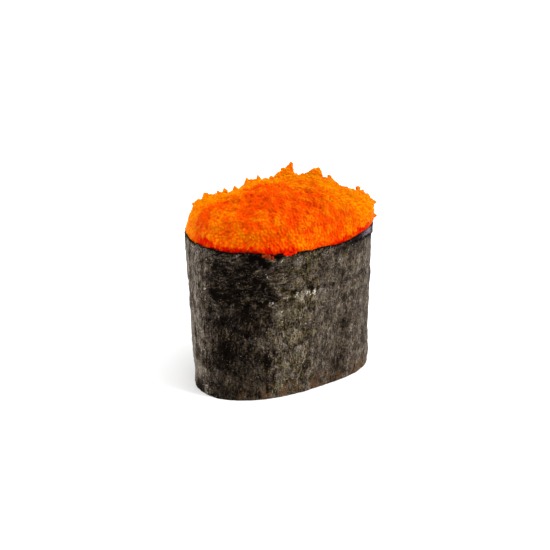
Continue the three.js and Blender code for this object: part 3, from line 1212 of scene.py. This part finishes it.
def rice_grains():
    """Short grains pressed together at the underside, flat where they stand and against the band."""
    rng = np.random.default_rng(61)
    layers = []
    for layer, height in enumerate(RICE_LAYERS):
        x, y = (rng.uniform(-reach, reach, RICE_STARTS) for reach in RICE_REACH)
        spots = np.column_stack([x, y, np.zeros(RICE_STARTS)])
        angle, radius = round_middle(spots)
        spots = spots[radius < room_radius(angle, height) - RICE_INSET]
        spots = spots[spread_points(spots, RICE_SPACING, 62 + layer)]
        spots[:, 2] = height + rng.uniform(-0.15, 0.3, len(spots))
        layers.append(spots)
    centres = np.concatenate(layers)
    shape, faces = ball(3)
    shape[:, 2] += GRAIN_BEND * shape[:, 0] ** 2
    heading = rng.uniform(0, math.pi, len(centres))
    tilt = rng.normal(0, 0.2, len(centres))
    sizes = rng.uniform(0.9, 1.08, (len(centres), 3)) * RICE_GRAIN
    x, y, z = np.moveaxis(shape * sizes[:, None], -1, 0)
    x, z = swung(x, z, tilt)
    x, y = swung(x, y, heading)
    points = np.stack([x, y, z], -1) + centres[:, None]
    floor = 0.03 + 0.02 * np.sin(7 * points[..., 0]) * np.sin(6 * points[..., 1])
    points[..., 2] = np.maximum(points[..., 2], floor)
    piece = joined("rice_grains", keep_inside(points, RICE_GAP), faces)
    set_numbers(piece, shade=np.repeat(rng.random(len(centres)), len(shape)))
    return piece


# ---------------------------------------------------------------- materials


class Finish:
    """A material under construction: adds nodes and links them to its Principled shader."""

    def __init__(self, name):
        self.material = bpy.data.materials.new(name)
        self.material.use_nodes = True
        self.tree = self.material.node_tree
        self.shader = self.tree.nodes["Principled BSDF"]

    def connect(self, node, inputs):
        """Links a node's sockets to others or sets them, each given by its name or number."""
        for name, value in inputs.items():
            if isinstance(value, bpy.types.NodeSocket):
                self.tree.links.new(value, node.inputs[name])
            else:
                node.inputs[name].default_value = value

    def add(self, kind, inputs, **settings):
        node = self.tree.nodes.new("ShaderNode" + kind)
        for name, value in settings.items():
            setattr(node, name, value)
        self.connect(node, inputs)
        return node

    def set(self, **inputs):
        """Links or sets inputs of the shader, with _ for each space in their names."""
        self.connect(self.shader, {name.replace("_", " "): value for name, value in inputs.items()})

    def position(self):
        return self.add("TexCoord", {}).outputs["Object"]

    def attribute(self, name, output="Fac"):
        return self.add("Attribute", {}, attribute_name=name).outputs[output]

    def math(self, operation, *values, clamp=False):
        return self.add("Math", dict(enumerate(values)), operation=operation, use_clamp=clamp).outputs[0]

    def times(self, first, second):
        return self.math("MULTIPLY", first, second)

    def stretched(self, vector, turn, across, up):
        """Coordinates turned about Z by degrees, and then scaled along X and Y."""
        inputs = {"Vector": vector, "Angle": math.radians(turn)}
        turned = self.add("VectorRotate", inputs, rotation_type="Z_AXIS").outputs[0]
        return self.add("VectorMath", {0: turned, 1: (across, up, 1)}, operation="MULTIPLY").outputs[0]

    def noise(self, vector, scale=1, detail=3, roughness=0.55, distortion=0):
        inputs = {"Vector": vector, "Scale": scale, "Detail": detail}
        inputs |= {"Roughness": roughness, "Distortion": distortion}
        return self.add("TexNoise", inputs).outputs["Fac"]

    def ranged(self, value, low, high, to_low=0, to_high=1):
        """A value brought smoothly from one range into another, where it stays."""
        inputs = {"Value": value, "From Min": low, "From Max": high, "To Min": to_low, "To Max": to_high}
        return self.add("MapRange", inputs, interpolation_type="SMOOTHSTEP").outputs[0]

    def between(self, factor, first, second):
        """A mix of two numbers."""
        return self.add("Mix", {"Factor": factor, "A": first, "B": second}).outputs["Result"]

    def mixed(self, factor, first, second):
        """A mix of two colours, each given as linear red, green and blue or as a socket."""
        inputs = {"Factor": factor, "A": first, "B": second}
        for name in "AB":
            if isinstance(inputs[name], tuple):
                inputs[name] = (*inputs[name], 1)
        return self.add("Mix", inputs, data_type="RGBA").outputs["Result"]

    def scaled(self, colour, factor):
        """A colour times a number."""
        return self.add("VectorMath", {0: colour, "Scale": factor}, operation="SCALE").outputs[0]

    def weighted(self, *parts):
        """The sum of some values, each times its weight."""
        total = 0
        for value, weight in parts:
            total = self.math("MULTIPLY_ADD", value, weight, total)
        return total

    def ramp(self, value, steps, colours):
        """A colour picked by a value from 0 to 1, from some linear colours and the value that each is for."""
        node = self.add("ValToRGB", {0: value})
        elements = node.color_ramp.elements
        while len(elements) < len(steps):
            elements.new(1)
        for element, at, colour in zip(elements, steps, colours):
            element.position = at
            element.color = (*colour, 1)
        return node.outputs["Color"]

    def strands(self, vector, lays, width):
        """Thin wandering fibres, from 0 between them to 1 along their middles. A lay is a turn and a size."""
        found = 0
        for turn, size in lays:
            laid = self.stretched(vector, turn, size, 0.4 * size)
            wave = self.noise(laid, detail=1, distortion=0.9)
            away = self.math("ABSOLUTE", self.math("SUBTRACT", wave, 0.5))
            broken = self.ranged(self.noise(laid, scale=0.7, detail=1), 0.45, 0.56)
            line = self.times(self.ranged(away, 0, width, 1, 0), broken)
            found = self.math("MAXIMUM", found, line)
        return found

    def bump(self, height, distance, strength):
        inputs = {"Height": height, "Distance": distance * MM, "Strength": strength}
        self.set(Normal=self.add("Bump", inputs).outputs["Normal"])


def nori_finish():
    """Dried seaweed: nearly black, matted with olive and straw fibres, in fine crinkles."""
    finish = Finish("nori")
    sheet = finish.attribute("sheet", "Vector")
    tone, lying, ends = (finish.attribute(name) for name in ("tone", "lying", "ends"))
    clouds = finish.noise(sheet, scale=0.3, detail=3, distortion=0.8)
    laid = (finish.stretched(sheet, *lay) for lay in BLOT_LAYS)
    blots = (finish.noise(vector, detail=4, roughness=0.6, distortion=0.8) for vector in laid)
    blots = finish.between(lying, *blots)
    grain = finish.noise(sheet, scale=2.6, detail=2, distortion=0.4)
    narrow = finish.noise(finish.stretched(sheet, 2, 1.9, 0.22), detail=2, distortion=0.3)
    broad = finish.noise(finish.stretched(sheet, -1, 0.6, 0.06), detail=3, distortion=0.4)
    upright = finish.math("SUBTRACT", finish.weighted((narrow, 0.4), (broad, 0.6)), 0.5)
    # The upright streaks, strongest at the ends, are painted light and shade of the creases.
    streaks = finish.times(finish.attribute("streaks"), upright)

    parts = finish.weighted(*zip((clouds, blots, grain, streaks), LEVEL_WEIGHTS))
    varied = finish.math("SUBTRACT", parts, sum(LEVEL_WEIGHTS[:3]) / 2)
    varied = finish.times(varied, finish.attribute("swing"))
    # The tone carries the painted light, sheen and shade of the band.
    level = finish.math("ADD", varied, tone, clamp=True)
    hue = finish.noise(sheet, scale=0.55, detail=3, roughness=0.7, distortion=1.2)
    # Towards the ends the ground turns more purple grey, a painted sheen.
    warm = finish.ranged(finish.math("MULTIPLY_ADD", ends, -0.3, hue), 0.4, 0.53)
    grounds = (GROUND_PURPLES, GROUND_BROWNS, GROUND_GREENS)
    purple, brown, green = (finish.ramp(level, GROUND_STEPS, colours) for colours in grounds)
    cool = finish.noise(finish.stretched(sheet, 15, 0.5, 0.3), detail=2, distortion=0.5)
    greenish = finish.ranged(cool, 0.5, 0.62, 0, 0.65)
    ground = finish.mixed(greenish, finish.mixed(warm, purple, brown), green)

    olive = finish.ranged(finish.math("MULTIPLY_ADD", ends, -0.25, hue), 0.45, 0.57)
    straw, mossy = (finish.ramp(level, FIBRE_STEPS, colours) for colours in (FIBRES, OLIVE_FIBRES))
    fibre = finish.mixed(olive, straw, mossy)
    standing = finish.strands(sheet, ((4, 1.2), (-14, 0.9), (-48, 0.8)), 0.11)
    bold = finish.between(lying, standing, finish.strands(sheet, ((82, 1.1), (68, 0.9)), 0.12))
    faint = finish.strands(sheet, ((10, 2.2), (-35, 1.8)), 0.13)
    strands = finish.math("MAXIMUM", bold, finish.times(faint, 0.6))
    colour = finish.mixed(strands, ground, fibre)
    rusty = finish.times(finish.attribute("rust"), finish.ranged(cool, 0.4, 0.55, 0.75, 0))
    colour = finish.mixed(finish.times(rusty, finish.ranged(level, 0, 0.5)), colour, RUST)
    # Painted glints: pale specks where the nori would catch the light.
    glints = finish.noise(finish.stretched(sheet, 30, 2.7, 2), detail=1)
    glints = finish.math("MULTIPLY_ADD", finish.attribute("speck"), 0.3, glints)
    speck = finish.times(finish.ranged(glints, 0.7, 0.77), finish.ranged(level, 0.1, 0.9, 0.3, 0.9))
    colour = finish.mixed(speck, colour, SPECK)

    # The fold is mixed from a dark colour to a lilac grey, a painted sheen, where the nori's grain and tone
    # are high.
    shaded = finish.math("ADD", finish.math("ADD", narrow, grain), tone)
    lip = finish.mixed(finish.ranged(shaded, 1.3, 1.75), *FOLD_COLOURS)
    colour = finish.mixed(finish.attribute("folded"), colour, lip)
    # The dark upper edge is partly painted shadow.
    uneven_edge = finish.weighted((grain, EDGE_RAGGEDNESS), (finish.attribute("edge"), 1))
    at_edge = finish.ranged(uneven_edge, 0.15 + EDGE_RAGGEDNESS / 2, 0.7 + EDGE_RAGGEDNESS / 2, 1, 0)
    dark = finish.math("MAXIMUM", finish.attribute("stain"), at_edge)
    finish.set(Base_Color=finish.mixed(dark, colour, STAIN), Specular_IOR_Level=0.005)
    finish.set(Roughness=finish.ranged(blots, 0.35, 0.65, 0.36, 0.6))
    finish.bump(finish.weighted((strands, 0.4), (blots, 0.7), (grain, 0.6)), 0.22, 0.8)
    return finish.material


def roe_finish(kind):
    """Wet see-through eggs: lighter and deeper in patches, with painted light and shade, a painted red glow
    in the gaps, and redder low down by the band as painted shade.
    """
    deep, light, see_through = ROE_FINISHES[kind]
    finish = Finish("roe_" + kind)
    position = finish.position()
    patches = finish.noise(position, scale=190, detail=3, distortion=0.5)
    blush = finish.noise(position, scale=900, detail=1)
    share = finish.weighted((finish.attribute("shade"), 0.8), (patches, 1.5), (blush, 0.4))
    colour = finish.mixed(finish.ranged(share, 0.85, 1.6), deep, light)
    # The painted red glow in the gaps.
    colour = finish.mixed(finish.times(finish.attribute("gap"), 0.8), colour, ROE_GLOW)
    uneven = finish.ranged(blush, 0.3, 0.6, 0.6, 1)
    # Painted shade low down by the rim, where the band shades the roe.
    colour = finish.mixed(finish.times(finish.attribute("red"), uneven), colour, ROE_RED)
    flecks = finish.noise(position, scale=750, detail=1, distortion=1)
    colour = finish.mixed(finish.ranged(flecks, 0.63, 0.72, 0, 0.5), colour, ROE_RED)
    # Painted light and shade that even out the roe's lighting.
    colour = finish.scaled(colour, finish.attribute("paleness"))
    finish.set(Base_Color=colour, Roughness=finish.ranged(blush, 0.3, 0.7, 0.2, 0.35))
    finish.set(Subsurface_Weight=see_through, Subsurface_Scale=0.9 * MM, Subsurface_Radius=(1, 0.22, 0.1))
    finish.set(IOR=1.38, Specular_IOR_Level=0.008)
    finish.bump(finish.noise(position, scale=2600, detail=1), 0.03, 0.3)
    return finish.material


def rice_finish():
    """Moist cooked rice, a little see-through."""
    finish = Finish("rice")
    position = finish.position()
    cloud = finish.noise(position, scale=420, detail=3)
    share = finish.weighted((cloud, 0.6), (finish.attribute("shade"), 0.4))
    colour = finish.mixed(share, *RICE_COLOURS)
    finish.set(Base_Color=colour, Roughness=finish.ranged(cloud, 0.3, 0.7, 0.3, 0.5))
    finish.set(Subsurface_Weight=0.6, Subsurface_Scale=0.8 * MM, Subsurface_Radius=(1, 0.85, 0.7))
    finish.bump(finish.noise(position, scale=1500, detail=2), 0.05, 0.4)
    return finish.material


def floor_finish():
    finish = Finish("floor")
    cloud = finish.noise(finish.position(), scale=3, detail=1)
    finish.set(Base_Color=finish.mixed(cloud, *FLOOR_COLOURS), Roughness=0.7)
    return finish.material


# ---------------------------------------------------------------- the studio


def direction(azimuth, elevation):
    """From the object towards a place at a camera azimuth and an elevation, in degrees."""
    a, e = math.radians(azimuth), math.radians(elevation)
    return Vector((math.sin(a) * math.cos(e), -math.cos(a) * math.cos(e), math.sin(e)))


def point_at(thing, aim, azimuth, elevation, distance):
    """Stands a lamp or the camera at a distance from its aim, in metres, and points it there."""
    thing.location = aim + direction(azimuth, elevation) * distance
    thing.rotation_euler = (thing.location - aim).to_track_quat("Z", "Y").to_euler()


def camera():
    lens = bpy.data.cameras.new("camera")
    lens.sensor_width = CAMERA_SENSOR
    lens.lens = CAMERA_LENS
    lens.clip_start = 0.01
    thing = put("camera", lens)
    point_at(thing, Vector(CAMERA_AIM) * MM, CAMERA_AZIMUTH, CAMERA_ELEVATION, CAMERA_DISTANCE * MM)
    bpy.context.scene.camera = thing


def softbox(name, azimuth, elevation, distance, size, power):
    lamp = bpy.data.lights.new(name, "AREA")
    lamp.shape = "SQUARE"
    lamp.size = size
    lamp.energy = power
    point_at(put(name, lamp), Vector((0, 0, BAND_HEIGHT / 2 * MM)), azimuth, elevation, distance)


def floor():
    mesh = bpy.data.meshes.new("floor")
    corners = [(x * FLOOR_REACH, y * FLOOR_REACH, 0) for x, y in ((-1, -1), (1, -1), (1, 1), (-1, 1))]
    mesh.from_pydata(corners, [], [(0, 1, 2, 3)])
    thing = put("floor", mesh)
    thing.data.materials.append(floor_finish())


def studio():
    """A pale floor in soft light: a key to the right, a large light overhead and one behind."""
    world = bpy.data.worlds.new("studio")
    bpy.context.scene.world = world
    world.use_nodes = True
    background = world.node_tree.nodes["Background"]
    background.inputs["Color"].default_value = (1, 1, 1, 1)
    background.inputs["Strength"].default_value = WORLD_LIGHT
    for light in SOFTBOXES:
        softbox(*light)
    bpy.context.scene.view_settings.view_transform = "Standard"
    floor()


def main():
    camera()
    studio()
    finish_piece(nori_band(), nori_finish(), "nori_wrap")

    finish_piece(roe_core(), roe_finish("packed"), "roe_heap")
    centres, radii = loose_eggs()
    half = len(centres) // 2
    light = loose_roe("roe_eggs_light", centres[:half], radii[:half], 71)
    finish_piece(light, roe_finish("light"), "roe_heap")
    deep = loose_roe("roe_eggs_deep", centres[half:], radii[half:], 73)
    finish_piece(deep, roe_finish("deep"), "roe_heap")
    smeared = loose_roe("roe_eggs_smeared", *smeared_eggs(), 75, reddened=0)
    finish_piece(smeared, roe_finish("stained"), "roe_heap")

    rice = rice_finish()
    finish_piece(rice_block(), rice, "rice_core")
    finish_piece(rice_grains(), rice, "rice_core")


main()
